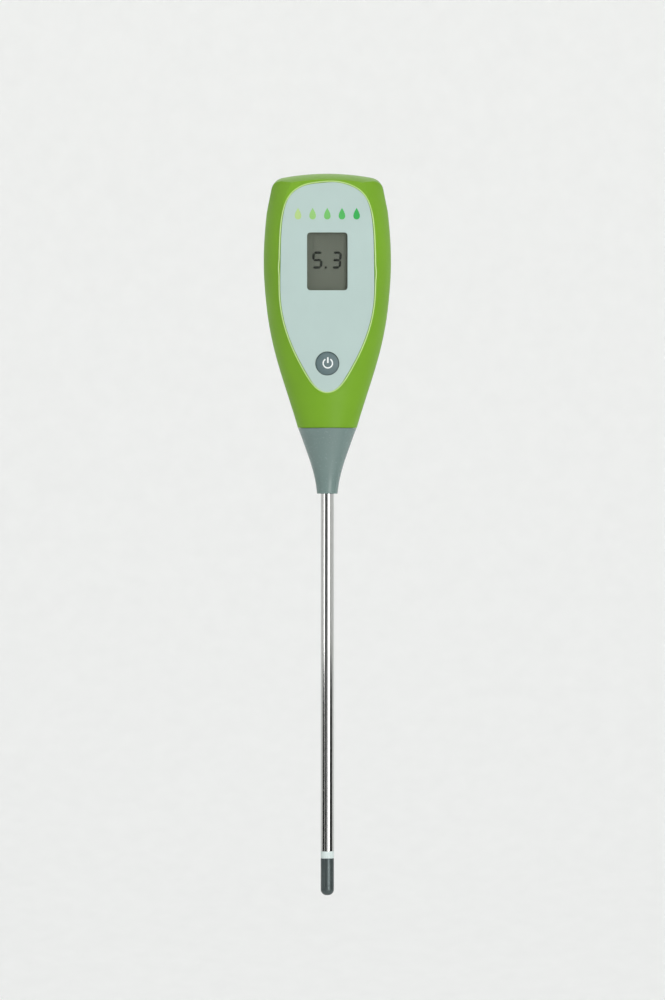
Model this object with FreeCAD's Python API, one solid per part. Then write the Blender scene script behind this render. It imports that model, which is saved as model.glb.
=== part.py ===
import FreeCAD, Part
import math
import os

from FreeCAD import Vector

# Hand-held digital soil moisture meter: a two-shell plastic head on a grey collar,
# with a steel probe whose tube and tip are the two electrodes.
# Frame, in millimetres: the origin is the centre of the collar's lower face, on the
# probe's axis. +Z runs up the probe into the head, -Y is the side with the display,
# and +X is to the right for a person who reads the display.

# ---------------------------------------------------------------- driving dimensions

# Outer sections of the head: height, half width, front depth, rear depth.
HEAD_STATIONS = [
    (24.8, 11.1, 9.3, 9.3),
    (38.0, 15.2, 11.6, 11.9),
    (50.0, 18.9, 14.1, 12.9),
    (62.0, 21.7, 16.7, 13.1),
    (74.0, 23.3, 18.0, 13.0),
    (86.0, 24.0, 17.4, 12.8),
    (98.0, 23.6, 17.2, 12.8),
    (110.0, 22.4, 16.5, 12.5),
    (123.0, 20.4, 11.2, 11.8),
]
HEAD_BOTTOM = 24.8
HEAD_TOP = 120.6
TOP_ARC_RADIUS = 90.0
TOP_CORNER_RADIUS = 5.5
TOP_CORNER_X = 15.7
TOP_SIDE_SLOPE = 0.2
CROWN_RADIUS = 25.0
FRONT_FACE_Y = -11.5
REAR_FACE_Y = 11.0
SHELL_WALL = 2.0
PARTING_GAP = 0.02
TONGUE_WALL = 0.8
TONGUE_HEIGHT = 1.2

# Outer sections of the collar: height, half width, half depth.
COLLAR_STATIONS = [
    (0.0, 3.9, 3.9),
    (4.7, 4.55, 4.4),
    (9.5, 5.7, 5.3),
    (14.3, 7.25, 6.5),
    (19.1, 8.95, 7.75),
    (24.8, 11.1, 9.3),
]
COLLAR_WALL = 1.2
COLLAR_FLOOR = 10.6
COLLAR_JOINT_GAP = 0.15
SPIGOT_BOTTOM = 13.0
SPIGOT_WALL = 1.2
GLUE_GAP = 0.1

# Face label, window and button.
LABEL_THICKNESS = 0.45
LABEL_RECESS = 0.5
LABEL_GAP = 0.12
LABEL_OUTLINE = [
    (0.0, 116.7),
    (8.4, 115.5),
    (13.7, 111.9),
    (16.4, 105.0),
    (17.4, 94.0),
    (17.6, 82.0),
    (17.3, 71.5),
    (15.4, 62.1),
    (11.9, 53.0),
    (7.1, 44.1),
    (3.6, 39.6),
    (0.0, 38.1),
]
WINDOW_Z = 87.1
WINDOW_WIDTH = 15.2
WINDOW_HEIGHT = 21.7
WINDOW_CORNER = 1.3
LENS_THICKNESS = 0.8
LENS_RIM = 1.3
BUTTON_Z = 48.8
BUTTON_HOLE_RADIUS = 4.5
BUTTON_RADIUS = 4.3
BUTTON_FACE_Y = -11.15
BUTTON_DOME = 0.25
BUTTON_FLANGE_RADIUS = 5.4

# Display and circuit board.
BOARD_FRONT_Y = -4.8
BOARD_THICKNESS = 1.6
BOARD_OUTLINE = [(-8.5, 41.0), (8.5, 41.0), (14.5, 54.0), (14.5, 103.0), (4.5, 103.0),
                 (4.5, 109.0), (-4.5, 109.0), (-4.5, 103.0), (-14.5, 103.0), (-14.5, 54.0)]
LCD_WIDTH = 19.6
LCD_HEIGHT = 27.6
LCD_GLASS = 1.0
LCD_FRONT_Y = -9.35
HOLDER_WALL = 1.6
BOARD_SCREWS = [(-11.5, 61.0), (11.5, 61.0), (0.0, 106.0)]

# Battery: one AAA cell, upright behind the circuit board.
CELL_RADIUS = 5.25
CELL_LENGTH = 44.5
CELL_NUB_RADIUS = 1.9
CELL_NUB_LENGTH = 1.0
CELL_BOTTOM = 50.5
CELL_Y = 3.8
BAY_HALF_WIDTH = 5.6
BAY_BOTTOM = 46.5
BAY_TOP = 95.5
BAY_FLOOR_Y = -1.55
BAY_WALL = 1.2

# Battery cover: it tips out about the outer edge of its upper end.
COVER_HALF_WIDTH = 8.2
COVER_BOTTOM = 45.0
COVER_TOP = 98.0
COVER_THICKNESS = 1.6
COVER_GAP = 0.25
COVER_CORNER = 2.0
HINGE_Z = 98.15
HOOK_INNER_X = 3.0
HOOK_WIDTH = 3.0
HOOK_REACH = 1.45
HOOK_THICKNESS = 0.8
LATCH_HALF_WIDTH = 3.5
LATCH_LENGTH = 7.0
LATCH_SLIT = 0.6
FINGER_RADIUS = 9.0
GRIP_ROWS = 5
GRIP_START = 10.0
GRIP_PITCH = 2.2
GRIP_HEIGHT = 0.9
GRIP_HALF_WIDTH = 4.5
GRIP_DEPTH = 0.35

# Housing screws, driven from the rear.
HOUSING_SCREWS = [(-15.5, 109.0), (15.5, 109.0), (-8.3, 34.0), (8.3, 34.0)]
SCREW_RADIUS = 1.0
SCREW_HEAD_RADIUS = 2.0
SCREW_HEAD_HEIGHT = 1.4
SCREW_SEAT_Y = 3.5
SCREW_TIP_Y = -5.0
SCREW_CLEARANCE = 0.15
SCREW_HEAD_CLEARANCE = 0.25
SCREW_BOSS_RADIUS = 2.6

# Probe.
TUBE_RADIUS = 2.5
TUBE_BORE = 1.9
TUBE_NECK_RADIUS = 2.25
TUBE_BOTTOM = -134.8
TUBE_TOP = 20.0
LINER_BORE = 1.05
LINER_RADIUS = 1.85
ROD_RADIUS = 1.0
ROD_TOP = 23.0
RING_BOTTOM = -137.5
TIP_BOTTOM = -151.4
TIP_SOCKET_DEPTH = 8.0
TIP_ROUNDING = 2.2
FIT = 0.05

WIRE_RADIUS = 0.5

# Values worked out from those above.
LABEL_BACK_Y = FRONT_FACE_Y + LABEL_RECESS
WALL_BACK_Y = FRONT_FACE_Y + SHELL_WALL
BOARD_REAR_Y = BOARD_FRONT_Y + BOARD_THICKNESS
COVER_INNER_Y = REAR_FACE_Y - COVER_THICKNESS
LEDGE_Y = COVER_INNER_Y - 0.1
X, Y, Z = Vector(1, 0, 0), Vector(0, 1, 0), Vector(0, 0, 1)

os.makedirs("parts", exist_ok=True)


# ---------------------------------------------------------------- helpers

def save(name, shape):
    """Write one node to its STEP file."""
    shape.exportStep("parts/" + name + ".step")


def box(x0, x1, y0, y1, z0, z1):
    """A block between two opposite corners."""
    return Part.makeBox(x1 - x0, y1 - y0, z1 - z0, Vector(x0, y0, z0))


def post(x, z, radius, y0, y1):
    """A cylinder along Y, from y0 to y1."""
    return Part.makeCylinder(radius, y1 - y0, Vector(x, y0, z), Y)


def turned(radius, z0, z1, bore=0.0):
    """A cylinder on the probe's axis, with an optional bore."""
    solid = Part.makeCylinder(radius, z1 - z0, Vector(0, 0, z0))
    if bore:
        solid = solid.cut(Part.makeCylinder(bore, z1 - z0, Vector(0, 0, z0)))
    return solid


def arc_edge(centre, radius, start, end, to_point):
    """An arc between two angles in degrees, mapped to space by to_point(u, v)."""
    points = []
    for degrees in (start, 0.5 * (start + end), end):
        angle = math.radians(degrees)
        u = centre[0] + radius * math.cos(angle)
        v = centre[1] + radius * math.sin(angle)
        points.append(to_point(u, v))
    return Part.Arc(*points).toShape()


def rounded_plate(x0, x1, z0, z1, corner, y0, y1):
    """A plate in the XZ plane with four round corners, from y0 to y1."""
    def place(u, v):
        return Vector(u, y0, v)

    centres = [(x1 - corner, z1 - corner), (x0 + corner, z1 - corner),
               (x0 + corner, z0 + corner), (x1 - corner, z0 + corner)]
    edges = []
    for quarter, centre in enumerate(centres):
        edges.append(arc_edge(centre, corner, 90 * quarter, 90 * quarter + 90, place))
    outline = []
    for index, edge in enumerate(edges):
        following = edges[(index + 1) % 4]
        outline.append(edge)
        outline.append(Part.makeLine(edge.Vertexes[-1].Point, following.Vertexes[0].Point))
    face = Part.Face(Part.Wire(Part.__sortEdges__(outline)))
    return face.extrude(Vector(0, y1 - y0, 0))


def wire_run(points, radius, bend):
    """A round wire along straight runs joined by tangent arcs of one bend radius."""
    stops = [Vector(*point) for point in points]
    edges = []
    start = stops[0]
    for before, corner, after in zip(stops, stops[1:], stops[2:]):
        into = (corner - before).normalize()
        out = (after - corner).normalize()
        turn = into.getAngle(out)
        reach = bend * math.tan(0.5 * turn)
        first = corner - into * reach
        last = corner + out * reach
        inward = (out - into).normalize()
        sagitta = bend / math.cos(0.5 * turn) - bend
        edges.append(Part.makeLine(start, first))
        edges.append(Part.Arc(first, corner + inward * sagitta, last).toShape())
        start = last
    edges.append(Part.makeLine(start, stops[-1]))
    path = Part.Wire(edges)
    direction = (stops[1] - stops[0]).normalize()
    section = Part.Wire(Part.makeCircle(radius, stops[0], direction))
    return path.makePipeShell([section], True, False)


# ---------------------------------------------------------------- head and collar forms

def half_section(z, half_width, depth, side):
    """One section of half the head: rather more than half an ellipse, and its chord."""
    spread = math.radians(12)
    ellipse = Part.Ellipse(Vector(0, 0, z), half_width, depth)
    start = -spread if side > 0 else math.pi - spread
    arc = Part.ArcOfEllipse(ellipse, start, start + math.pi + 2 * spread).toShape()
    chord = Part.makeLine(arc.Vertexes[-1].Point, arc.Vertexes[0].Point)
    return Part.Wire([arc, chord])


def crown_block(inset):
    """The space under the head's crowned top, with round upper corners."""
    axis_z = HEAD_TOP - CROWN_RADIUS
    arc_centre_z = HEAD_TOP - TOP_ARC_RADIUS
    corner_z = arc_centre_z + math.sqrt(
        (TOP_ARC_RADIUS - TOP_CORNER_RADIUS) ** 2 - TOP_CORNER_X ** 2)
    tangent = math.degrees(math.atan2(corner_z - arc_centre_z, TOP_CORNER_X))
    side_angle = math.degrees(math.atan(TOP_SIDE_SLOPE))
    top_radius = TOP_ARC_RADIUS - inset
    corner_radius = TOP_CORNER_RADIUS - inset

    def place(u, v):
        return Vector(u, 0, v)

    def mirror(u, v):
        return Vector(-u, 0, v)

    top = arc_edge((0, arc_centre_z), top_radius, tangent, 180 - tangent, place)
    right = arc_edge((TOP_CORNER_X, corner_z), corner_radius, side_angle, tangent, place)
    left = arc_edge((TOP_CORNER_X, corner_z), corner_radius, side_angle, tangent, mirror)
    side_top = right.Vertexes[0].Point
    side_x = side_top.x + TOP_SIDE_SLOPE * (side_top.z - axis_z)
    corners = [side_top, Vector(side_x, 0, axis_z), Vector(-side_x, 0, axis_z),
               Vector(-side_top.x, 0, side_top.z)]
    edges = [top, right, left]
    for first, second in zip(corners, corners[1:]):
        edges.append(Part.makeLine(first, second))
    face = Part.Face(Part.Wire(Part.__sortEdges__(edges)))
    barrel = face.revolve(Vector(0, 0, axis_z), X, 360)
    below = box(-40, 40, -40, 40, HEAD_BOTTOM + inset, axis_z)
    return barrel.fuse(below)


def head_half(side, inset, split=PARTING_GAP):
    """Half the head's solid form, drawn in by inset; side is -1 in front and 1 behind."""
    sections = []
    for z, half_width, front, rear in HEAD_STATIONS:
        depth = front if side < 0 else rear
        sections.append(half_section(z, half_width - inset, depth - inset, side))
    form = Part.makeLoft(sections, True, False)
    if side < 0:
        slab = box(-40, 40, FRONT_FACE_Y + inset, -split, 0, 130)
    else:
        slab = box(-40, 40, split, REAR_FACE_Y - inset, 0, 130)
    return form.common(crown_block(inset)).common(slab)


def ellipse_wire(z, half_width, half_depth):
    """A full ellipse as two arcs that meet on the X axis."""
    ellipse = Part.Ellipse(Vector(0, 0, z), half_width, half_depth)
    near = Part.ArcOfEllipse(ellipse, 0, math.pi).toShape()
    far = Part.ArcOfEllipse(ellipse, math.pi, 2 * math.pi).toShape()
    return Part.Wire([near, far])


def collar_form(inset, z0, z1):
    """The collar's flared form, drawn in by inset, between two heights."""
    sections = []
    for z, half_width, half_depth in COLLAR_STATIONS:
        sections.append(ellipse_wire(z, half_width - inset, half_depth - inset))
    form = Part.makeLoft(sections, True, False)
    return form.common(box(-20, 20, -20, 20, z0, z1))


def label_prism(grow, y0, y1):
    """The face label's outline, grown by a margin, from y0 to y1."""
    right = [Vector(x + grow * min(1.0, x / 3.0), y0, z) for x, z in LABEL_OUTLINE]
    right[0].z += grow
    right[-1].z -= grow
    left = [Vector(-point.x, y0, point.z) for point in reversed(right[1:-1])]
    curve = Part.BSplineCurve()
    curve.interpolate(right + left, PeriodicFlag=True)
    face = Part.Face(Part.Wire(curve.toShape()))
    return face.extrude(Vector(0, y1 - y0, 0))


def window_prism(grow, y0, y1):
    """The display opening, grown by a margin, from y0 to y1."""
    half_width = 0.5 * WINDOW_WIDTH + grow
    half_height = 0.5 * WINDOW_HEIGHT + grow
    return rounded_plate(-half_width, half_width, WINDOW_Z - half_height,
                         WINDOW_Z + half_height, WINDOW_CORNER + 0.5 * grow, y0, y1)


# ---------------------------------------------------------------- shells

def front_housing():
    """Front shell: label recess, display and button openings, bosses and a closing tongue."""
    outer = head_half(-1, 0.0)
    shell = outer.cut(head_half(-1, SHELL_WALL, 0.0))
    bosses = [post(x, z, SCREW_BOSS_RADIUS, FRONT_FACE_Y, -PARTING_GAP) for x, z in HOUSING_SCREWS]
    bosses += [post(x, z, 2.3, FRONT_FACE_Y, BOARD_FRONT_Y) for x, z in BOARD_SCREWS]
    for boss in bosses:
        shell = shell.fuse(boss.common(outer))
    shell = shell.fuse(closing_tongue())
    shell = shell.fuse(neck_spigot(-1))
    shell = shell.cut(neck_bore())
    shell = shell.cut(label_prism(LABEL_GAP, FRONT_FACE_Y - 1, LABEL_BACK_Y))
    shell = shell.cut(window_prism(0.0, FRONT_FACE_Y - 1, 0))
    shell = shell.cut(window_prism(LENS_RIM + FIT, WALL_BACK_Y - LENS_THICKNESS, WALL_BACK_Y + 1))
    shell = shell.cut(post(0, BUTTON_Z, BUTTON_HOLE_RADIUS, FRONT_FACE_Y - 1, WALL_BACK_Y + 1))
    for x, z in HOUSING_SCREWS:
        shell = shell.cut(post(x, z, SCREW_RADIUS + FIT, SCREW_TIP_Y - 1, 0))
    for x, z in BOARD_SCREWS:
        shell = shell.cut(post(x, z, 0.8 + FIT, -8.3, 0))
    return shell.removeSplitter()


def closing_tongue():
    """A thin wall inside the front shell that reaches into the rear one."""
    outer_inset = SHELL_WALL + GLUE_GAP
    ring = head_half(1, outer_inset, 0.0).cut(head_half(1, outer_inset + TONGUE_WALL, 0.0))
    ring = ring.common(box(-30, 30, 0, TONGUE_HEIGHT, 48, 115))
    root = head_half(-1, SHELL_WALL - 0.5, 0.0)
    root = root.cut(head_half(-1, outer_inset + TONGUE_WALL, 0.0))
    return ring.fuse(root.common(box(-30, 30, -1.5, 0, 48, 115)))


def neck_spigot(side):
    """Half of the neck that plugs into the collar."""
    outer = collar_form(COLLAR_WALL + GLUE_GAP, SPIGOT_BOTTOM, HEAD_BOTTOM)
    if side < 0:
        return outer.common(box(-20, 20, -20, -PARTING_GAP, 0, 40))
    return outer.common(box(-20, 20, PARTING_GAP, 20, 0, 40))


def neck_bore():
    """The passage from the collar into the head, for the wires."""
    inset = COLLAR_WALL + GLUE_GAP + SPIGOT_WALL
    passage = collar_form(inset, SPIGOT_BOTTOM - 1, HEAD_BOTTOM)
    z, half_width, half_depth = COLLAR_STATIONS[-1]
    mouth = Part.Face(ellipse_wire(z, half_width - inset, half_depth - inset))
    return passage.fuse(mouth.extrude(Vector(0, 0, SHELL_WALL + 1)))


def rear_housing():
    """Rear shell: battery bay, cover recess and seats for the four housing screws."""
    outer = head_half(1, 0.0)
    shell = outer.cut(head_half(1, SHELL_WALL, 0.0))
    for x, z in HOUSING_SCREWS:
        shell = shell.fuse(post(x, z, SCREW_BOSS_RADIUS + 0.3, PARTING_GAP, 14).common(outer))
    bay_outer = box(-BAY_HALF_WIDTH - BAY_WALL, BAY_HALF_WIDTH + BAY_WALL,
                    BAY_FLOOR_Y - BAY_WALL, LEDGE_Y, BAY_BOTTOM - BAY_WALL, BAY_TOP + BAY_WALL)
    margin = COVER_GAP + 1.3
    ledge = box(-COVER_HALF_WIDTH - margin, COVER_HALF_WIDTH + margin, LEDGE_Y - 1.5,
                REAR_FACE_Y - 0.5, COVER_BOTTOM - margin, COVER_TOP + 3.2)
    shell = shell.fuse(bay_outer).fuse(ledge)
    shell = shell.fuse(neck_spigot(1))
    shell = shell.cut(neck_bore())
    shell = shell.cut(box(-BAY_HALF_WIDTH, BAY_HALF_WIDTH, BAY_FLOOR_Y, 14, BAY_BOTTOM, BAY_TOP))
    shell = shell.cut(rounded_plate(
        -COVER_HALF_WIDTH - COVER_GAP, COVER_HALF_WIDTH + COVER_GAP, COVER_BOTTOM - COVER_GAP,
        COVER_TOP + COVER_GAP, COVER_CORNER + COVER_GAP, LEDGE_Y, 14))
    for side in (-1, 1):
        shell = shell.cut(hook_slot(side))
    for z0, z1 in ((BAY_BOTTOM - BAY_WALL - 1, BAY_BOTTOM), (BAY_TOP, BAY_TOP + BAY_WALL + 1)):
        shell = shell.cut(box(-1.3, 1.3, 2.5, 3.5, z0, z1))
    finger = Part.makeSphere(FINGER_RADIUS, Vector(0, REAR_FACE_Y + 7.6, COVER_BOTTOM - 1.0))
    shell = shell.cut(finger)
    for x, z in HOUSING_SCREWS:
        shell = shell.cut(post(x, z, SCREW_RADIUS + SCREW_CLEARANCE, 0, SCREW_SEAT_Y))
        shell = shell.cut(post(x, z, SCREW_HEAD_RADIUS + SCREW_HEAD_CLEARANCE, SCREW_SEAT_Y, 14))
    return shell.removeSplitter()


def hook_slot(side):
    """The slot behind the rear wall in which one of the cover's hooks turns."""
    x0 = side * HOOK_INNER_X if side > 0 else -HOOK_INNER_X - HOOK_WIDTH
    sweep = Part.makeCylinder(2.35, HOOK_WIDTH + 0.5, Vector(x0 - 0.25, REAR_FACE_Y, HINGE_Z), X)
    roof = COVER_INNER_Y + HOOK_THICKNESS + 0.3
    return sweep.common(box(-10, 10, 0, roof, HINGE_Z - 4, HINGE_Z + 4))


def battery_cover():
    """Flush cover with two hooks at its upper end and a sprung latch at its lower end."""
    cover = rounded_plate(-COVER_HALF_WIDTH, COVER_HALF_WIDTH, COVER_BOTTOM, COVER_TOP,
                          COVER_CORNER, COVER_INNER_Y, REAR_FACE_Y)
    for side in (-1, 1):
        x0 = HOOK_INNER_X if side > 0 else -HOOK_INNER_X - HOOK_WIDTH
        cover = cover.fuse(box(x0, x0 + HOOK_WIDTH, COVER_INNER_Y, COVER_INNER_Y + HOOK_THICKNESS,
                               COVER_TOP - 2, HINGE_Z + HOOK_REACH))
        slit_x = side * (LATCH_HALF_WIDTH + 0.5 * LATCH_SLIT)
        cover = cover.cut(box(slit_x - 0.5 * LATCH_SLIT, slit_x + 0.5 * LATCH_SLIT, 0, 20,
                              COVER_BOTTOM - 1, COVER_BOTTOM + LATCH_LENGTH))
    finger = Part.makeSphere(FINGER_RADIUS, Vector(0, REAR_FACE_Y + 8.3, COVER_BOTTOM + 0.5))
    cover = cover.cut(finger)
    for row in range(GRIP_ROWS):
        z = COVER_BOTTOM + GRIP_START + GRIP_PITCH * row
        cover = cover.cut(box(-GRIP_HALF_WIDTH, GRIP_HALF_WIDTH, REAR_FACE_Y - GRIP_DEPTH,
                              REAR_FACE_Y + 1, z, z + GRIP_HEIGHT))
    return cover.removeSplitter()


def collar():
    """Flared collar: solid round the probe below, hollow round the neck above."""
    body = collar_form(0.0, 0.0, HEAD_BOTTOM - COLLAR_JOINT_GAP)
    body = body.cut(collar_form(COLLAR_WALL, COLLAR_FLOOR, HEAD_BOTTOM))
    body = body.cut(turned(TUBE_NECK_RADIUS + FIT, -1, COLLAR_FLOOR + 1))
    return body


# ---------------------------------------------------------------- face pieces

def face_label():
    """Thin plate set into the front face, with the display and button openings."""
    plate = label_prism(0.0, LABEL_BACK_Y - LABEL_THICKNESS, LABEL_BACK_Y)
    plate = plate.cut(window_prism(0.0, FRONT_FACE_Y - 1, 0))
    return plate.cut(post(0, BUTTON_Z, BUTTON_HOLE_RADIUS, FRONT_FACE_Y - 1, 0))


def display_window():
    """Clear pane in a pocket behind the front wall."""
    return window_prism(LENS_RIM, WALL_BACK_Y - LENS_THICKNESS, WALL_BACK_Y)


def power_button():
    """Round button with a low dome in front and a flange behind the wall."""
    cap = post(0, BUTTON_Z, BUTTON_RADIUS, BUTTON_FACE_Y, WALL_BACK_Y + 0.2)
    dome_radius = (BUTTON_RADIUS ** 2 + BUTTON_DOME ** 2) / (2 * BUTTON_DOME)
    dome = Part.makeSphere(dome_radius, Vector(0, BUTTON_FACE_Y + dome_radius, BUTTON_Z))
    flange = post(0, BUTTON_Z, BUTTON_FLANGE_RADIUS, WALL_BACK_Y + 0.1, WALL_BACK_Y + 0.9)
    return cap.common(dome).fuse(flange).removeSplitter()


# ---------------------------------------------------------------- display and board

def lcd_glass(front):
    """One of the two glass plates of the display; the rear one is longer."""
    y0 = LCD_FRONT_Y if front else LCD_FRONT_Y + LCD_GLASS
    half_height = 0.5 * LCD_HEIGHT - (1.6 if front else 0.0)
    return box(-0.5 * LCD_WIDTH, 0.5 * LCD_WIDTH, y0, y0 + LCD_GLASS,
               WINDOW_Z - half_height, WINDOW_Z + half_height)


def contact_strip_boxes(grow):
    """The places of the two rubber contact strips above and below the display."""
    z_offset = 0.5 * LCD_HEIGHT - 1.3
    rear_y = LCD_FRONT_Y + 2 * LCD_GLASS
    strips = []
    for side in (-1, 1):
        z = WINDOW_Z + side * z_offset
        strips.append(box(-8.5 - grow, 8.5 + grow, rear_y, BOARD_FRONT_Y,
                          z - 0.9 - grow, z + 0.9 + grow))
    return strips


def lcd_holder():
    """Frame that holds the display and its contact strips against the board."""
    half_width = 0.5 * LCD_WIDTH + HOLDER_WALL
    half_height = 0.5 * LCD_HEIGHT + HOLDER_WALL
    frame = box(-half_width, half_width, LCD_FRONT_Y, BOARD_FRONT_Y,
                WINDOW_Z - half_height, WINDOW_Z + half_height)
    glass_x = 0.5 * LCD_WIDTH + FIT
    glass_z = 0.5 * LCD_HEIGHT + FIT
    frame = frame.cut(box(-glass_x, glass_x, LCD_FRONT_Y - 1, LCD_FRONT_Y + 2 * LCD_GLASS,
                          WINDOW_Z - glass_z, WINDOW_Z + glass_z))
    frame = frame.cut(box(-8, 8, LCD_FRONT_Y, 0, WINDOW_Z - 9.5, WINDOW_Z + 9.5))
    for strip in contact_strip_boxes(FIT):
        frame = frame.cut(strip)
    return frame


def circuit_board():
    """Board outline that narrows to the neck, with a screw tab at the top."""
    corners = [Vector(x, BOARD_FRONT_Y, z) for x, z in BOARD_OUTLINE]
    face = Part.Face(Part.makePolygon(corners + corners[:1]))
    board = face.extrude(Vector(0, BOARD_THICKNESS, 0))
    for x, z in BOARD_SCREWS:
        board = board.cut(post(x, z, 1.0, BOARD_FRONT_Y - 1, BOARD_REAR_Y + 1))
    return board


def screw(x, z, seat_y, tip_y, shank, head, height):
    """Pan-head screw driven towards -Y, with a cross recess."""
    body = post(x, z, shank, tip_y, seat_y).fuse(post(x, z, head, seat_y, seat_y + height))
    top = seat_y + height
    arm = 0.6 * head
    slot = 0.16 * head
    depth = 0.55 * height
    body = body.cut(box(x - arm, x + arm, top - depth, top + 1, z - slot, z + slot))
    body = body.cut(box(x - slot, x + slot, top - depth, top + 1, z - arm, z + arm))
    return body.removeSplitter()


def controller_chip():
    """Surface-mounted chip with a row of leads on each side."""
    y = BOARD_FRONT_Y
    chip = box(-5.2, 5.2, y - 1.9, y - 0.2, 61.2, 66.8)
    for column in range(8):
        x = -4.45 + 1.27 * column
        for side in (-1, 1):
            z0, z1 = sorted((64 + side * 2.7, 64 + side * 3.9))
            chip = chip.fuse(box(x - 0.2, x + 0.2, y - 0.9, y - 0.7, z0, z1))
            z0, z1 = sorted((64 + side * 3.7, 64 + side * 3.9))
            chip = chip.fuse(box(x - 0.2, x + 0.2, y - 0.9, y, z0, z1))
    return chip.removeSplitter()


def small_parts(places, size_x, size_z, height):
    """A group of equal surface-mounted blocks on the front of the board."""
    y = BOARD_FRONT_Y
    blocks = [box(x - size_x / 2, x + size_x / 2, y - height, y, z - size_z / 2, z + size_z / 2)
              for x, z in places]
    return Part.makeCompound(blocks)


def timing_crystal():
    """Small metal can lying on the board."""
    can = Part.makeCylinder(1.5, 6.0, Vector(-11.0, BOARD_FRONT_Y - 1.5, 64.6), Z)
    return can.makeFillet(0.4, can.Edges)


def switch_body():
    """Square switch under the button, with a well for its plunger and four legs."""
    y = BOARD_FRONT_Y
    body = box(-3, 3, y - 3.0, y, BUTTON_Z - 3, BUTTON_Z + 3)
    body = body.cut(post(0, BUTTON_Z, 1.85, y - 4.0, y - 1.6))
    for x in (-3.6, 3.0):
        for z in (-2.25, 2.25):
            body = body.fuse(box(x, x + 0.6, y - 1.2, y, BUTTON_Z + z - 0.35, BUTTON_Z + z + 0.35))
    return body.removeSplitter()


def switch_plunger():
    """The switch's stem, which the button rests on."""
    back = BOARD_FRONT_Y - 2.5
    stem = post(0, BUTTON_Z, 1.7, WALL_BACK_Y + 0.9, back)
    return stem


# ---------------------------------------------------------------- battery pieces

def battery_cell():
    """AAA cell with its raised positive end on top."""
    can_top = CELL_BOTTOM + CELL_LENGTH - CELL_NUB_LENGTH
    can = Part.makeCylinder(CELL_RADIUS, can_top - CELL_BOTTOM, Vector(0, CELL_Y, CELL_BOTTOM))
    can = can.makeFillet(0.5, [edge for edge in can.Edges if edge.Length > 20 and edge.Closed])
    nub = Part.makeCylinder(CELL_NUB_RADIUS, CELL_NUB_LENGTH, Vector(0, CELL_Y, can_top))
    return can.fuse(nub)


def battery_spring():
    """Coil spring under the cell."""
    height = CELL_BOTTOM - BAY_BOTTOM - 0.5 - 0.7
    start = Vector(0, CELL_Y, BAY_BOTTOM + 0.5 + 0.3)
    helix = Part.makeHelix(height / 3.0, height, 2.8)
    helix.translate(start)
    section = Part.Wire(Part.makeCircle(0.25, start + Vector(2.8, 0, 0), Y))
    return Part.Wire(helix.Edges).makePipeShell([section], True, True)


def contact_plate(z0, z1, tab_z0, tab_z1):
    """Battery contact: a plate across the bay's end, and a tab through its wall."""
    plate = box(-4.5, 4.5, CELL_Y - 4.5, CELL_Y + 4.5, z0, z1)
    return plate.fuse(box(-1.1, 1.1, 2.8, 3.2, tab_z0, tab_z1)).removeSplitter()


# ---------------------------------------------------------------- probe pieces

def probe_tube():
    """Steel tube, necked where it enters the collar so that its shoulder stops there."""
    tube = turned(TUBE_RADIUS, TUBE_BOTTOM, 0.0).fuse(turned(TUBE_NECK_RADIUS, 0.0, TUBE_TOP))
    return tube.cut(turned(TUBE_BORE, TUBE_BOTTOM - 1, TUBE_TOP + 1))


def probe_tip():
    """Lower electrode with a round end and a socket for the centre rod."""
    tip = turned(TUBE_RADIUS, TIP_BOTTOM, RING_BOTTOM)
    rim = [edge for edge in tip.Edges if edge.BoundBox.ZMax < TIP_BOTTOM + 0.1 and edge.Closed]
    tip = tip.makeFillet(TIP_ROUNDING, rim)
    return tip.cut(turned(ROD_RADIUS + FIT, RING_BOTTOM - TIP_SOCKET_DEPTH, RING_BOTTOM + 1))


def solder_tag():
    """Ring soldered to the tube's upper end, with an ear for its wire."""
    ring = turned(3.4, TUBE_TOP - 1.0, TUBE_TOP - 0.6)
    ring = ring.fuse(box(-0.9, 0.9, 2.5, 4.6, TUBE_TOP - 1.0, TUBE_TOP - 0.6))
    return ring.cut(turned(TUBE_NECK_RADIUS + FIT, 0, TUBE_TOP + 1)).removeSplitter()


# ---------------------------------------------------------------- build every node

save("front_housing", front_housing())
save("rear_housing", rear_housing())
save("battery_cover", battery_cover())
save("collar", collar())
save("face_label", face_label())
save("display_window", display_window())
save("power_button", power_button())

save("lcd_front_glass", lcd_glass(True))
save("lcd_rear_glass", lcd_glass(False))
save("lcd_holder", lcd_holder())
save("contact_strips", Part.makeCompound(contact_strip_boxes(0.0)))
save("circuit_board", circuit_board())
save("controller_chip", controller_chip())
save("chip_resistors", small_parts([(-7.6, 57), (-7.6, 59.3), (7.6, 57), (7.6, 66), (7.6, 68.2)],
                                   2.0, 1.25, 0.6))
save("chip_capacitors", small_parts([(0, 57.5), (4, 57.5), (12.2, 70), (-4, 57.5)],
                                    1.25, 2.0, 1.0))
save("timing_crystal", timing_crystal())
save("switch_body", switch_body())
save("switch_plunger", switch_plunger())

board_screws = [screw(x, z, BOARD_REAR_Y, -8.0, 0.8, 1.7, 1.1) for x, z in BOARD_SCREWS]
save("board_screws", Part.makeCompound(board_screws))
housing_screws = [screw(x, z, SCREW_SEAT_Y, SCREW_TIP_Y, SCREW_RADIUS, SCREW_HEAD_RADIUS,
                        SCREW_HEAD_HEIGHT) for x, z in HOUSING_SCREWS]
save("housing_screws", Part.makeCompound(housing_screws))

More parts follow.
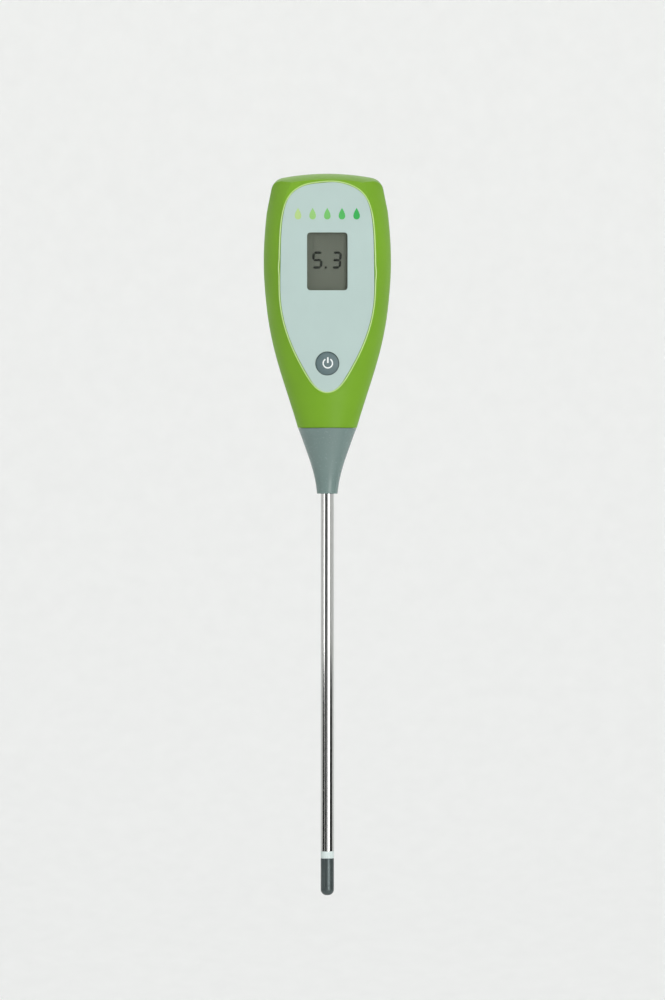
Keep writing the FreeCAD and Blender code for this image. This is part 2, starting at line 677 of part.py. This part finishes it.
save("battery_cell", battery_cell())
save("battery_spring", battery_spring())
save("negative_contact", contact_plate(BAY_BOTTOM, BAY_BOTTOM + 0.5, BAY_BOTTOM - 2.8, BAY_BOTTOM))
save("positive_contact", contact_plate(BAY_TOP - 0.5, BAY_TOP, BAY_TOP, BAY_TOP + 3.0))
save("negative_lead", wire_run([(0, 2.8, 44.3), (0, 0.6, 44.3), (0, -1.2, 43.4),
                                (0, BOARD_REAR_Y, 43.4)], WIRE_RADIUS, 1.5))
save("positive_lead", wire_run([(0, 2.8, 98.0), (0, 1.0, 98.0), (0, -1.4, 99.4),
                                (0, BOARD_REAR_Y, 99.4)], WIRE_RADIUS, 1.5))

save("probe_tube", probe_tube())
save("tube_liner", turned(LINER_RADIUS, TUBE_BOTTOM, TUBE_TOP + 1.0, LINER_BORE))
save("centre_rod", turned(ROD_RADIUS, RING_BOTTOM - TIP_SOCKET_DEPTH, ROD_TOP))
save("insulator_ring", turned(TUBE_RADIUS, RING_BOTTOM, TUBE_BOTTOM, ROD_RADIUS + FIT))
save("probe_tip", probe_tip())
save("retaining_ring", turned(4.1, COLLAR_FLOOR, COLLAR_FLOOR + 1.0, TUBE_NECK_RADIUS + FIT))
save("solder_tag", solder_tag())
save("tube_wire", wire_run([(0, 4.0, TUBE_TOP - 0.6), (0, 4.0, 27.0), (-3, 1.5, 36.0),
                            (-3, 1.5, 42.8), (-3, BOARD_REAR_Y, 42.8)], WIRE_RADIUS, 2.0))
save("tip_wire", wire_run([(0, 0, ROD_TOP), (0, 0, 29.0), (3, 0, 36.0), (3, 0, 42.8),
                           (3, BOARD_REAR_Y, 42.8)], WIRE_RADIUS, 2.0))
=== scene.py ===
import math

import bmesh
import bpy
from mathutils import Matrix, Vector


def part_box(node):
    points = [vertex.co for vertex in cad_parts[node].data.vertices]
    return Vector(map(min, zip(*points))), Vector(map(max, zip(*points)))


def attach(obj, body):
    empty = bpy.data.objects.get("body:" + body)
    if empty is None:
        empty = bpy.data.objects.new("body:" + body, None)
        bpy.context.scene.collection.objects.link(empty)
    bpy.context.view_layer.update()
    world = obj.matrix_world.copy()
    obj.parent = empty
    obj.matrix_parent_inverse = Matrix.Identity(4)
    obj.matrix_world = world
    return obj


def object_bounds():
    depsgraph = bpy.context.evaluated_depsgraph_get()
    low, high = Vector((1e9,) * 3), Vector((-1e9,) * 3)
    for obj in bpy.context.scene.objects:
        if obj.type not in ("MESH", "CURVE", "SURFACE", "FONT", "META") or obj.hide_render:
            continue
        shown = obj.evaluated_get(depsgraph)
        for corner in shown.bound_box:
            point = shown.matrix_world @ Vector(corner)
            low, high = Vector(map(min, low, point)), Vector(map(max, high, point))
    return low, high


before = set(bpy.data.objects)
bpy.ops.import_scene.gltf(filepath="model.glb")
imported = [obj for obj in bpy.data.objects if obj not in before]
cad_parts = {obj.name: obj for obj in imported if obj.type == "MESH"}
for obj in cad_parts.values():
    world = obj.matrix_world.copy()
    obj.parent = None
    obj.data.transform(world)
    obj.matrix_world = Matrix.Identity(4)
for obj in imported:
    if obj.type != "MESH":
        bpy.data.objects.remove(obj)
cad_low, cad_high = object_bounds()
MM = 0.001


def srgb(r, g, b):
    """A linear colour from 0-255 display values."""
    out = []
    for value in (r, g, b):
        v = value / 255.0
        out.append(v / 12.92 if v <= 0.04045 else ((v + 0.055) / 1.055) ** 2.4)
    return (out[0], out[1], out[2], 1.0)


# ---------------------------------------------------------------- materials

BROAD_SCALE, BROAD_DETAIL = 60.0, 4.0     # the slow wander of colour
FINE_DETAIL = 3.0                         # the grain, whose scale each surface gives
RAMP_LOW, RAMP_HIGH = 0.3, 0.7            # the noise values of the darkest and lightest colour
ROUGH_LOW, ROUGH_HIGH = 0.82, 1.18        # how far the grain moves the roughness
SMOOTHEST = 0.02
BUMP_DISTANCE = 0.0002


def surface(name, colour, rough, vary=0.06, grain=900.0, bump=0.04, stretch=(1, 1, 1), **shader):
    """A procedural surface: colour and roughness wander with noise, with a fine bump."""
    mat = bpy.data.materials.new(name)
    mat.use_nodes = True
    nodes, links = mat.node_tree.nodes, mat.node_tree.links
    bsdf = nodes["Principled BSDF"]
    for key, value in shader.items():
        bsdf.inputs[key.replace("_", " ")].default_value = value
    coord = nodes.new("ShaderNodeTexCoord")
    mapping = nodes.new("ShaderNodeMapping")
    mapping.inputs["Scale"].default_value = stretch
    links.new(coord.outputs["Object"], mapping.inputs["Vector"])
    broad = nodes.new("ShaderNodeTexNoise")
    broad.inputs["Scale"].default_value = BROAD_SCALE
    broad.inputs["Detail"].default_value = BROAD_DETAIL
    fine = nodes.new("ShaderNodeTexNoise")
    fine.inputs["Scale"].default_value = grain
    fine.inputs["Detail"].default_value = FINE_DETAIL
    for noise in (broad, fine):
        links.new(mapping.outputs["Vector"], noise.inputs["Vector"])
    ramp = nodes.new("ShaderNodeValToRGB")
    darkest, lightest = ramp.color_ramp.elements[0], ramp.color_ramp.elements[1]
    darkest.position, lightest.position = RAMP_LOW, RAMP_HIGH
    darkest.color = tuple(c * (1.0 - vary) for c in colour[:3]) + (1.0,)
    lightest.color = tuple(min(1.0, c * (1.0 + vary)) for c in colour[:3]) + (1.0,)
    links.new(broad.outputs["Fac"], ramp.inputs["Fac"])
    links.new(ramp.outputs["Color"], bsdf.inputs["Base Color"])
    spread = nodes.new("ShaderNodeMapRange")
    spread.inputs["To Min"].default_value = max(SMOOTHEST, rough * ROUGH_LOW)
    spread.inputs["To Max"].default_value = min(1.0, rough * ROUGH_HIGH)
    links.new(fine.outputs["Fac"], spread.inputs["Value"])
    links.new(spread.outputs["Result"], bsdf.inputs["Roughness"])
    bumper = nodes.new("ShaderNodeBump")
    bumper.inputs["Strength"].default_value = bump
    bumper.inputs["Distance"].default_value = BUMP_DISTANCE
    links.new(fine.outputs["Fac"], bumper.inputs["Height"])
    links.new(bumper.outputs["Normal"], bsdf.inputs["Normal"])
    return mat


MAT = {
    "green": surface("green_plastic", srgb(116, 163, 34), 0.46, 0.05, 1400, 0.05,
                     Specular_IOR_Level=0.28),
    # The rim's pale green, much lighter than the shell, is a painted highlight: the shine along the
    # rounded crease, painted into its colour.
    "rim": surface("green_plastic_rim_painted_highlight", srgb(186, 216, 136), 0.22, 0.04, 1400, 0.02,
                   Coat_Weight=0.3),
    "label": surface("label_film", srgb(178, 198, 193), 0.42, 0.025, 2200, 0.03),
    "lens": surface("clear_plastic", srgb(150, 160, 150), 0.04, 0.01, 200, 0.0, Alpha=0.03),
    "button": surface("button_rubber", srgb(94, 114, 116), 0.44, 0.05, 2600, 0.10),
    "collar": surface("collar_plastic", srgb(114, 134, 130), 0.26, 0.05, 1500, 0.06),
    "steel": surface("polished_steel", srgb(214, 214, 212), 0.10, 0.03, 300, 0.02,
                     stretch=(6, 6, 0.25), Metallic=1.0),
    "tip": surface("tip_metal", srgb(82, 91, 91), 0.34, 0.14, 1300, 0.10, Metallic=0.75),
    "white": surface("insulator_white", srgb(212, 224, 221), 0.34, 0.03, 1200, 0.03),
    "lcd": surface("lcd_glass", srgb(91, 96, 83), 0.30, 0.03, 300, 0.0),
    "digit": surface("lcd_digit", srgb(14, 15, 13), 0.55, 0.10, 900, 0.0, Specular_IOR_Level=0.1),
    "print": surface("white_print", srgb(236, 240, 238), 0.45, 0.02, 1500, 0.02),
    "holder": surface("holder_plastic", srgb(30, 32, 32), 0.50, 0.08, 1400, 0.06),
    "rubber": surface("strip_rubber", srgb(190, 120, 140), 0.60, 0.08, 1600, 0.05),
    "board": surface("board_laminate", srgb(22, 92, 50), 0.38, 0.12, 1100, 0.06),
    "chip": surface("chip_epoxy", srgb(26, 26, 28), 0.55, 0.08, 2600, 0.10),
    "ceramic": surface("chip_ceramic", srgb(150, 120, 88), 0.42, 0.08, 1800, 0.05),
    "plated": surface("plated_metal", srgb(196, 196, 190), 0.24, 0.06, 700, 0.04, Metallic=1.0),
    "screw": surface("screw_steel", srgb(150, 152, 156), 0.28, 0.08, 800, 0.06, Metallic=1.0),
    "cell": surface("cell_jacket", srgb(60, 66, 74), 0.28, 0.08, 500, 0.03, Coat_Weight=0.4),
    "liner": surface("liner_plastic", srgb(224, 220, 205), 0.45, 0.04, 1000, 0.04),
    "brass": surface("rod_brass", srgb(190, 160, 90), 0.25, 0.06, 600, 0.04, Metallic=1.0),
    "red": surface("wire_red", srgb(170, 30, 28), 0.40, 0.08, 1200, 0.04),
    "black": surface("wire_black", srgb(22, 22, 24), 0.42, 0.08, 1200, 0.04),
    "wire": surface("wire_white", srgb(220, 220, 214), 0.42, 0.04, 1200, 0.04),
}

NODE_MATERIAL = {
    "front_housing": "green", "rear_housing": "green", "battery_cover": "green",
    "collar": "collar", "face_label": "label", "display_window": "lens",
    "power_button": "button", "lcd_front_glass": "lcd", "lcd_rear_glass": "lcd",
    "lcd_holder": "holder", "contact_strips": "rubber", "circuit_board": "board",
    "controller_chip": "chip", "chip_resistors": "chip", "chip_capacitors": "ceramic",
    "timing_crystal": "plated", "switch_body": "holder", "switch_plunger": "button",
    "board_screws": "screw", "housing_screws": "screw", "battery_cell": "cell",
    "battery_spring": "plated", "negative_contact": "plated", "positive_contact": "plated",
    "negative_lead": "black", "positive_lead": "red", "probe_tube": "steel",
    "tube_liner": "liner", "centre_rod": "brass", "insulator_ring": "white",
    "probe_tip": "tip", "retaining_ring": "plated", "solder_tag": "plated",
    "tube_wire": "wire", "tip_wire": "red",
}
for node, key in NODE_MATERIAL.items():
    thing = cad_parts[node]
    thing.data.materials.clear()
    thing.data.materials.append(MAT[key])


# ---------------------------------------------------------------- edges of the CAD nodes

# Widths in mm. Each is an upper limit: clamping keeps a bevel within the mesh's short edges, so
# on most nodes the rounding comes out far smaller, and the shading gains more than the shape.
EDGE_ROUNDING = {
    "front_housing": 0.32, "rear_housing": 0.28, "battery_cover": 0.22, "face_label": 0.10,
    "power_button": 0.18, "collar": 0.20, "insulator_ring": 0.15, "probe_tube": 0.08,
    "battery_spring": 0.05, "negative_contact": 0.05, "positive_contact": 0.05,
    "battery_cell": 0.25, "housing_screws": 0.08, "lcd_holder": 0.15, "switch_body": 0.12,
}
WELD_DISTANCE = 0.000005
BEVEL_SEGMENTS = 3
SHARP_ANGLE = math.radians(28)

for node, width in EDGE_ROUNDING.items():
    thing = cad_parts[node]
    weld = thing.modifiers.new("weld", "WELD")
    weld.merge_threshold = WELD_DISTANCE
    rounding = thing.modifiers.new("rounding", "BEVEL")
    rounding.width = width * MM
    rounding.segments = BEVEL_SEGMENTS
    rounding.limit_method = "ANGLE"
    rounding.angle_limit = SHARP_ANGLE
    rounding.harden_normals = True
    rounding.use_clamp_overlap = True
    even = thing.modifiers.new("even", "WEIGHTED_NORMAL")
    even.keep_sharp = True
    thing.data.shade_smooth()


# ---------------------------------------------------------------- mesh helpers

def finish_piece(name, bm, material, body):
    """Turns a bmesh into a piece that rides on a body."""
    bmesh.ops.recalc_face_normals(bm, faces=bm.faces)
    mesh = bpy.data.meshes.new(name)
    bm.to_mesh(mesh)
    bm.free()
    piece = bpy.data.objects.new(name, mesh)
    bpy.context.scene.collection.objects.link(piece)
    mesh.materials.append(MAT[material])
    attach(piece, body)
    return piece


def inlay(name, outlines, y_of, thickness, material, body):
    """Thin raised print: each outline (x, z in mm) is filled and given a thickness towards -Y."""
    bm = bmesh.new()
    for outline in outlines:
        front = [bm.verts.new((x, y_of(x, z) - thickness, z)) for x, z in outline]
        back = [bm.verts.new((x, y_of(x, z), z)) for x, z in outline]
        for loop in (front, back):
            edges = []
            for a, b in zip(loop, loop[1:] + loop[:1]):
                edges.append(bm.edges.get((a, b)) or bm.edges.new((a, b)))
            bmesh.ops.triangle_fill(bm, use_beauty=True, use_dissolve=False, edges=edges)
        count = len(front)
        for i in range(count):
            j = (i + 1) % count
            bm.faces.new((front[i], front[j], back[j], back[i]))
    bmesh.ops.scale(bm, vec=(MM, MM, MM), verts=bm.verts)
    return finish_piece(name, bm, material, body)


# ---------------------------------------------------------------- rim round the face plate

RIM_OFFSET, RIM_RADIUS, RIM_DEPTH = 0.40, 0.27, 0.15
RIM_STEPS, RIM_SIDES = 360, 12
ON_FACE = 0.00001               # how near the plate's front a vertex has to be
SMOOTHING = 3                   # neighbours on each side that a radius is averaged with


def inside(box, x, z):
    """Whether a place lies in a box as seen from the front."""
    return box[0].x < x < box[1].x and box[0].z < z < box[1].z


def plate_outline(steps):
    """The face plate's outer edge in mm, as points at even angles round its middle."""
    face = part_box("face_label")
    middle_z = 0.5 * (face[0].z + face[1].z) / MM
    front_y = face[0].y
    window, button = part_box("display_window"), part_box("power_button")
    polar = []
    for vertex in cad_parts["face_label"].data.vertices:
        x, y, z = vertex.co
        if abs(y - front_y) > ON_FACE or inside(window, x, z) or inside(button, x, z):
            continue
        polar.append((math.atan2(z / MM - middle_z, x / MM), math.hypot(x, z - middle_z * MM) / MM))
    polar.sort()
    polar = [(polar[-1][0] - 2 * math.pi, polar[-1][1])] + polar
    polar.append((polar[1][0] + 2 * math.pi, polar[1][1]))
    points, k = [], 0
    for i in range(steps):
        angle = -math.pi + 2 * math.pi * i / steps
        while polar[k + 1][0] < angle:
            k += 1
        (a0, r0), (a1, r1) = polar[k], polar[k + 1]
        share = 0.0 if a1 == a0 else (angle - a0) / (a1 - a0)
        points.append((angle, r0 + (r1 - r0) * share))
    smooth = []
    for i, (angle, _) in enumerate(points):
        near = [points[(i + n) % steps][1] for n in range(-SMOOTHING, SMOOTHING + 1)]
        radius = sum(near) / len(near)
        smooth.append(Vector((radius * math.cos(angle), radius * math.sin(angle) + middle_z)))
    return smooth


def rim():
    """A rounded bead of the shell's plastic where the face plate's recess begins; its paler green
    is a painted highlight along the crease.
    """
    path = plate_outline(RIM_STEPS)
    count, sides = len(path), RIM_SIDES
    centre_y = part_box("front_housing")[0].y / MM + RIM_DEPTH
    bm = bmesh.new()
    rows = []
    for i, point in enumerate(path):
        along = (path[(i + 1) % count] - path[i - 1]).normalized()
        outward = Vector((along.y, -along.x))
        centre = point + outward * RIM_OFFSET
        row = []
        for k in range(sides):
            a = 2 * math.pi * k / sides
            flat = centre + outward * (RIM_RADIUS * math.cos(a))
            row.append(bm.verts.new((flat.x, centre_y + RIM_RADIUS * math.sin(a), flat.y)))
        rows.append(row)
    for i in range(count):
        for k in range(sides):
            bm.faces.new((rows[i][k], rows[(i + 1) % count][k],
                          rows[(i + 1) % count][(k + 1) % sides], rows[i][(k + 1) % sides]))
    bmesh.ops.scale(bm, vec=(MM, MM, MM), verts=bm.verts)
    piece = finish_piece("housing_rim", bm, "rim", "meter")
    piece.data.shade_smooth()


rim()


# ---------------------------------------------------------------- display digits

# Print stands a little clear of what it is on, so that no two faces coincide.
PRINT_GAP, PRINT_THICKNESS = 0.005, 0.03
LCD_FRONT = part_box("lcd_front_glass")[0].y / MM
DIGIT_GAP = 0.01
SEGMENT, SEGMENT_GAP = 0.92, 0.09
SLANT = math.tan(math.radians(4.5))
DIGIT_BASE, DIGIT_HEIGHT = 84.4, 6.5
FIRST_LEFT, FIRST_WIDTH = -6.0, 4.0
SECOND_LEFT, SECOND_WIDTH = 1.35, 3.7
POINT_X, POINT_HALF_WIDTH, POINT_HEIGHT, POINT_LEAN = -0.6, 0.42, 0.85, 0.06


def bar(x0, z0, x1, z1, width):
    """A segment between two points with pointed ends."""
    along = Vector((x1 - x0, z1 - z0)).normalized()
    side = Vector((-along.y, along.x)) * 0.5 * width
    tip = along * 0.5 * width
    a, b = Vector((x0, z0)), Vector((x1, z1))
    return [a, a + tip + side, b - tip + side, b, b - tip - side, a + tip - side]


def digit(x0, width, height, lit):
    """The lit segments of one seven-segment digit, slanted to the right."""
    h = 0.5 * SEGMENT
    left, right = x0 + h, x0 + width - h
    low, mid, high = h, 0.5 * height, height - h
    g = SEGMENT_GAP
    spans = {
        "a": (left + g, high, right - g, high), "d": (left + g, low, right - g, low),
        "g": (left + g, mid, right - g, mid), "f": (left, mid + g, left, high - g),
        "b": (right, mid + g, right, high - g), "e": (left, low + g, left, mid - g),
        "c": (right, low + g, right, mid - g),
    }
    shapes = []
    for key in lit:
        points = bar(*spans[key], SEGMENT)
        shapes.append([(p.x + p.y * SLANT, p.y + DIGIT_BASE) for p in points])
    return shapes


def decimal_point():
    """A small block that leans with the digits."""
    left, right = POINT_X - POINT_HALF_WIDTH, POINT_X + POINT_HALF_WIDTH
    top = DIGIT_BASE + POINT_HEIGHT
    return [(left, DIGIT_BASE), (right, DIGIT_BASE), (right + POINT_LEAN, top),
            (left + POINT_LEAN, top)]


inlay("display_digits",
      digit(FIRST_LEFT, FIRST_WIDTH, DIGIT_HEIGHT, "afgcd")
      + digit(SECOND_LEFT, SECOND_WIDTH, DIGIT_HEIGHT, "abgcd") + [decimal_point()],
      lambda x, z: LCD_FRONT - DIGIT_GAP, PRINT_THICKNESS, "digit", "meter")


# ---------------------------------------------------------------- power symbol

BUTTON_LOW, BUTTON_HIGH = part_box("power_button")
BUTTON_FACE = BUTTON_LOW.y / MM
BUTTON_CENTRE_Z = 0.5 * (BUTTON_LOW.z + BUTTON_HIGH.z) / MM
DOME_RADIUS = 37.1
SYMBOL_X, SYMBOL_RISE, SYMBOL_THICKNESS = 0.2, 0.1, 0.04
SYMBOL_OUTER, SYMBOL_INNER, SYMBOL_STEPS = 2.0, 1.5, 40
SYMBOL_GAP = math.radians(32)
STEM_HALF_WIDTH, STEM_LOW, STEM_HIGH = 0.3, 0.1, 2.25


def on_dome(x, z):
    """Where print on the button's domed face begins."""
    return BUTTON_FACE + (x * x + (z - BUTTON_CENTRE_Z) ** 2) / (2 * DOME_RADIUS) - PRINT_GAP


def power_symbol(cx, cz):
    """An open ring with a bar through its gap."""
    start, sweep = math.pi / 2 + SYMBOL_GAP, 2 * math.pi - 2 * SYMBOL_GAP
    angles = [start + sweep * i / SYMBOL_STEPS for i in range(SYMBOL_STEPS + 1)]
    ring = [(cx + SYMBOL_OUTER * math.cos(a), cz + SYMBOL_OUTER * math.sin(a)) for a in angles]
    ring += [(cx + SYMBOL_INNER * math.cos(a), cz + SYMBOL_INNER * math.sin(a))
             for a in reversed(angles)]
    left, right = cx - STEM_HALF_WIDTH, cx + STEM_HALF_WIDTH
    stem = [(left, cz + STEM_LOW), (right, cz + STEM_LOW),
            (right, cz + STEM_HIGH), (left, cz + STEM_HIGH)]
    return [ring, stem]


inlay("power_symbol", power_symbol(SYMBOL_X, BUTTON_CENTRE_Z + SYMBOL_RISE), on_dome,
      SYMBOL_THICKNESS, "print", "button")


# ---------------------------------------------------------------- generic moisture scale

LABEL_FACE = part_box("face_label")[0].y / MM
DROP_TINTS = [srgb(176, 206, 130), srgb(146, 198, 112), srgb(112, 188, 98),
              srgb(74, 178, 86), srgb(40, 168, 75)]
DROP_WIDTH, DROP_HEIGHT, DROP_STEPS = 3.4, 4.4, 36
DROP_TAPER = 1.3                # how sharply the drop closes to its point
SCALE_LEFT, SCALE_PITCH, SCALE_Z = -11.0, 5.5, 105.0


def drop(cx, cz, width, height):
    """A water drop: round below and drawn to a point above."""
    outline = []
    for i in range(DROP_STEPS):
        a = 2 * math.pi * i / DROP_STEPS
        x = 0.5 * width * math.sin(a) * (math.sin(a / 2) ** DROP_TAPER)
        outline.append((cx + x, cz + 0.5 * height * math.cos(a)))
    return outline


for i, tint in enumerate(DROP_TINTS):
    key = "drop%d" % (i + 1)
    MAT[key] = surface("scale_ink_%d" % (i + 1), tint, 0.40, 0.04, 1800, 0.02)
    outline = drop(SCALE_LEFT + SCALE_PITCH * i, SCALE_Z, DROP_WIDTH, DROP_HEIGHT)
    inlay("scale_mark_%d" % (i + 1), [outline], lambda x, z: LABEL_FACE - PRINT_GAP,
          PRINT_THICKNESS, key, "meter")


# ---------------------------------------------------------------- stage

# The floor is well below the tip, where the polished tube doesn't mirror it.
FLOOR_DROP = 0.30
FLOOR_RADIUS, CORNER_RADIUS, WALL_TOP = 2.4, 0.9, 2.6
CORNER_STEPS, BOWL_STEPS = 12, 96

# Each card's azimuth, width, height, distance and the height of its middle.
FLAGS = {
    "stage_flag_left": (-24, 0.66, 1.6, 1.35, 0.35),
    "stage_flag_low_left": (-68, 1.0, 0.30, 1.25, -0.25),
    "stage_flag_low_right": (72, 1.1, 0.30, 1.25, -0.25),
}


def around(azimuth, distance, height):
    """A place round the meter's axis, where azimuth 0 is in front of the display."""
    a = math.radians(azimuth)
    return (distance * math.sin(a), -distance * math.cos(a), height)


def bowl():
    """A pale floor that turns up into a wall all round."""
    floor_z = cad_low.z - FLOOR_DROP
    profile = [(0.0, 0.0), (0.5 * FLOOR_RADIUS, 0.0), (FLOOR_RADIUS, 0.0)]
    for i in range(1, CORNER_STEPS + 1):
        a = math.radians(90 * i / CORNER_STEPS)
        profile.append((FLOOR_RADIUS + CORNER_RADIUS * math.sin(a),
                        CORNER_RADIUS - CORNER_RADIUS * math.cos(a)))
    profile.append((FLOOR_RADIUS + CORNER_RADIUS, WALL_TOP))
    bm = bmesh.new()
    verts = [bm.verts.new((r, 0, z + floor_z)) for r, z in profile]
    edges = [bm.edges.new(pair) for pair in zip(verts, verts[1:])]
    bmesh.ops.spin(bm, geom=verts + edges, cent=(0, 0, 0), axis=(0, 0, 1),
                   angle=2 * math.pi, steps=BOWL_STEPS, use_merge=True)
    bmesh.ops.remove_doubles(bm, verts=bm.verts, dist=1e-5)
    mesh = bpy.data.meshes.new("stage_bowl")
    bm.to_mesh(mesh)
    bm.free()
    thing = bpy.data.objects.new("stage_bowl", mesh)
    bpy.context.scene.collection.objects.link(thing)
    mesh.materials.append(surface("stage_paper", srgb(246, 246, 244), 0.85, 0.01, 80, 0.02))
    mesh.shade_smooth()


def flag(name, azimuth, width, height, distance, middle):
    """A dark card, unseen by the camera, that a polished surface reflects."""
    mesh = bpy.data.meshes.new(name)
    w, h = 0.5 * width, 0.5 * height
    mesh.from_pydata([(-w, 0, -h), (w, 0, -h), (w, 0, h), (-w, 0, h)], [], [(0, 1, 2, 3)])
    card = bpy.data.objects.new(name, mesh)
    card.location = around(azimuth, distance, middle)
    card.rotation_euler = (0, 0, math.radians(azimuth))
    bpy.context.scene.collection.objects.link(card)
    mesh.materials.append(surface(name + "_cloth", srgb(24, 24, 24), 0.9, 0.02, 90, 0.02))
    card.visible_camera = False


bowl()
for name, place in FLAGS.items():
    flag(name, *place)


# ---------------------------------------------------------------- lights

# Each softbox's azimuth, height, distance, width, length and power, and the height it aims at.
SOFTBOXES = {
    "key": (26, 0.22, 1.5, 0.50, 1.6, 11, 0.02),
    "strip": (-56, 0.15, 1.4, 0.20, 1.6, 5, 0.02),
    "top": (10, 2.3, 1.5, 2.0, 2.0, 9, 0.05),
    "back": (180, 1.2, 1.6, 1.4, 1.0, 4, 0.02),
}
WASH_SIZE, WASH_POWER = 1.6, 11
WASH_PLACE, WASH_TARGET = (0, 1.3, 1.5), (0, 3.2, 0.2)
SKY_COLOUR, SKY_STRENGTH = (0.95, 0.97, 1.0, 1.0), 0.66


def area_lamp(name, place, target, power, width, length=None):
    """An area light, unseen by the camera and square unless it is given a length."""
    light = bpy.data.lights.new(name, "AREA")
    if length:
        light.shape, light.size_y = "RECTANGLE", length
    light.size, light.energy = width, power
    lamp = bpy.data.objects.new(name, light)
    lamp.location = place
    aim = Vector(target) - lamp.location
    lamp.rotation_euler = aim.to_track_quat("-Z", "Y").to_euler()
    lamp.visible_camera = False
    bpy.context.scene.collection.objects.link(lamp)


for name, (azimuth, height, distance, width, length, power, aim_z) in SOFTBOXES.items():
    area_lamp(name, around(azimuth, distance, height), (0, 0, aim_z), power, width, length)
area_lamp("wall_wash", WASH_PLACE, WASH_TARGET, WASH_POWER, WASH_SIZE)

world = bpy.data.worlds.new("studio")
world.use_nodes = True
sky = world.node_tree.nodes["Background"]
sky.inputs["Color"].default_value = SKY_COLOUR
sky.inputs["Strength"].default_value = SKY_STRENGTH
bpy.context.scene.world = world


# ---------------------------------------------------------------- camera

FIELD_HEIGHT = 0.375            # how much height the picture covers at the meter's face
LENS, SENSOR = 200.0, 36.0      # mm
CAMERA_X, CAMERA_Z = 0.00195, -0.0024
CLIP_NEAR, CLIP_FAR = 0.05, 50.0

face_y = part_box("front_housing")[0].y
camera_data = bpy.data.cameras.new("camera")
camera_data.lens, camera_data.sensor_width, camera_data.sensor_fit = LENS, SENSOR, "AUTO"
camera_data.clip_start, camera_data.clip_end = CLIP_NEAR, CLIP_FAR
camera = bpy.data.objects.new("camera", camera_data)
camera.location = (CAMERA_X, face_y - FIELD_HEIGHT * LENS / SENSOR, CAMERA_Z)
camera.rotation_euler = (math.radians(90), 0, 0)
bpy.context.scene.collection.objects.link(camera)
bpy.context.scene.camera = camera
bpy.context.scene.view_settings.view_transform = "Standard"
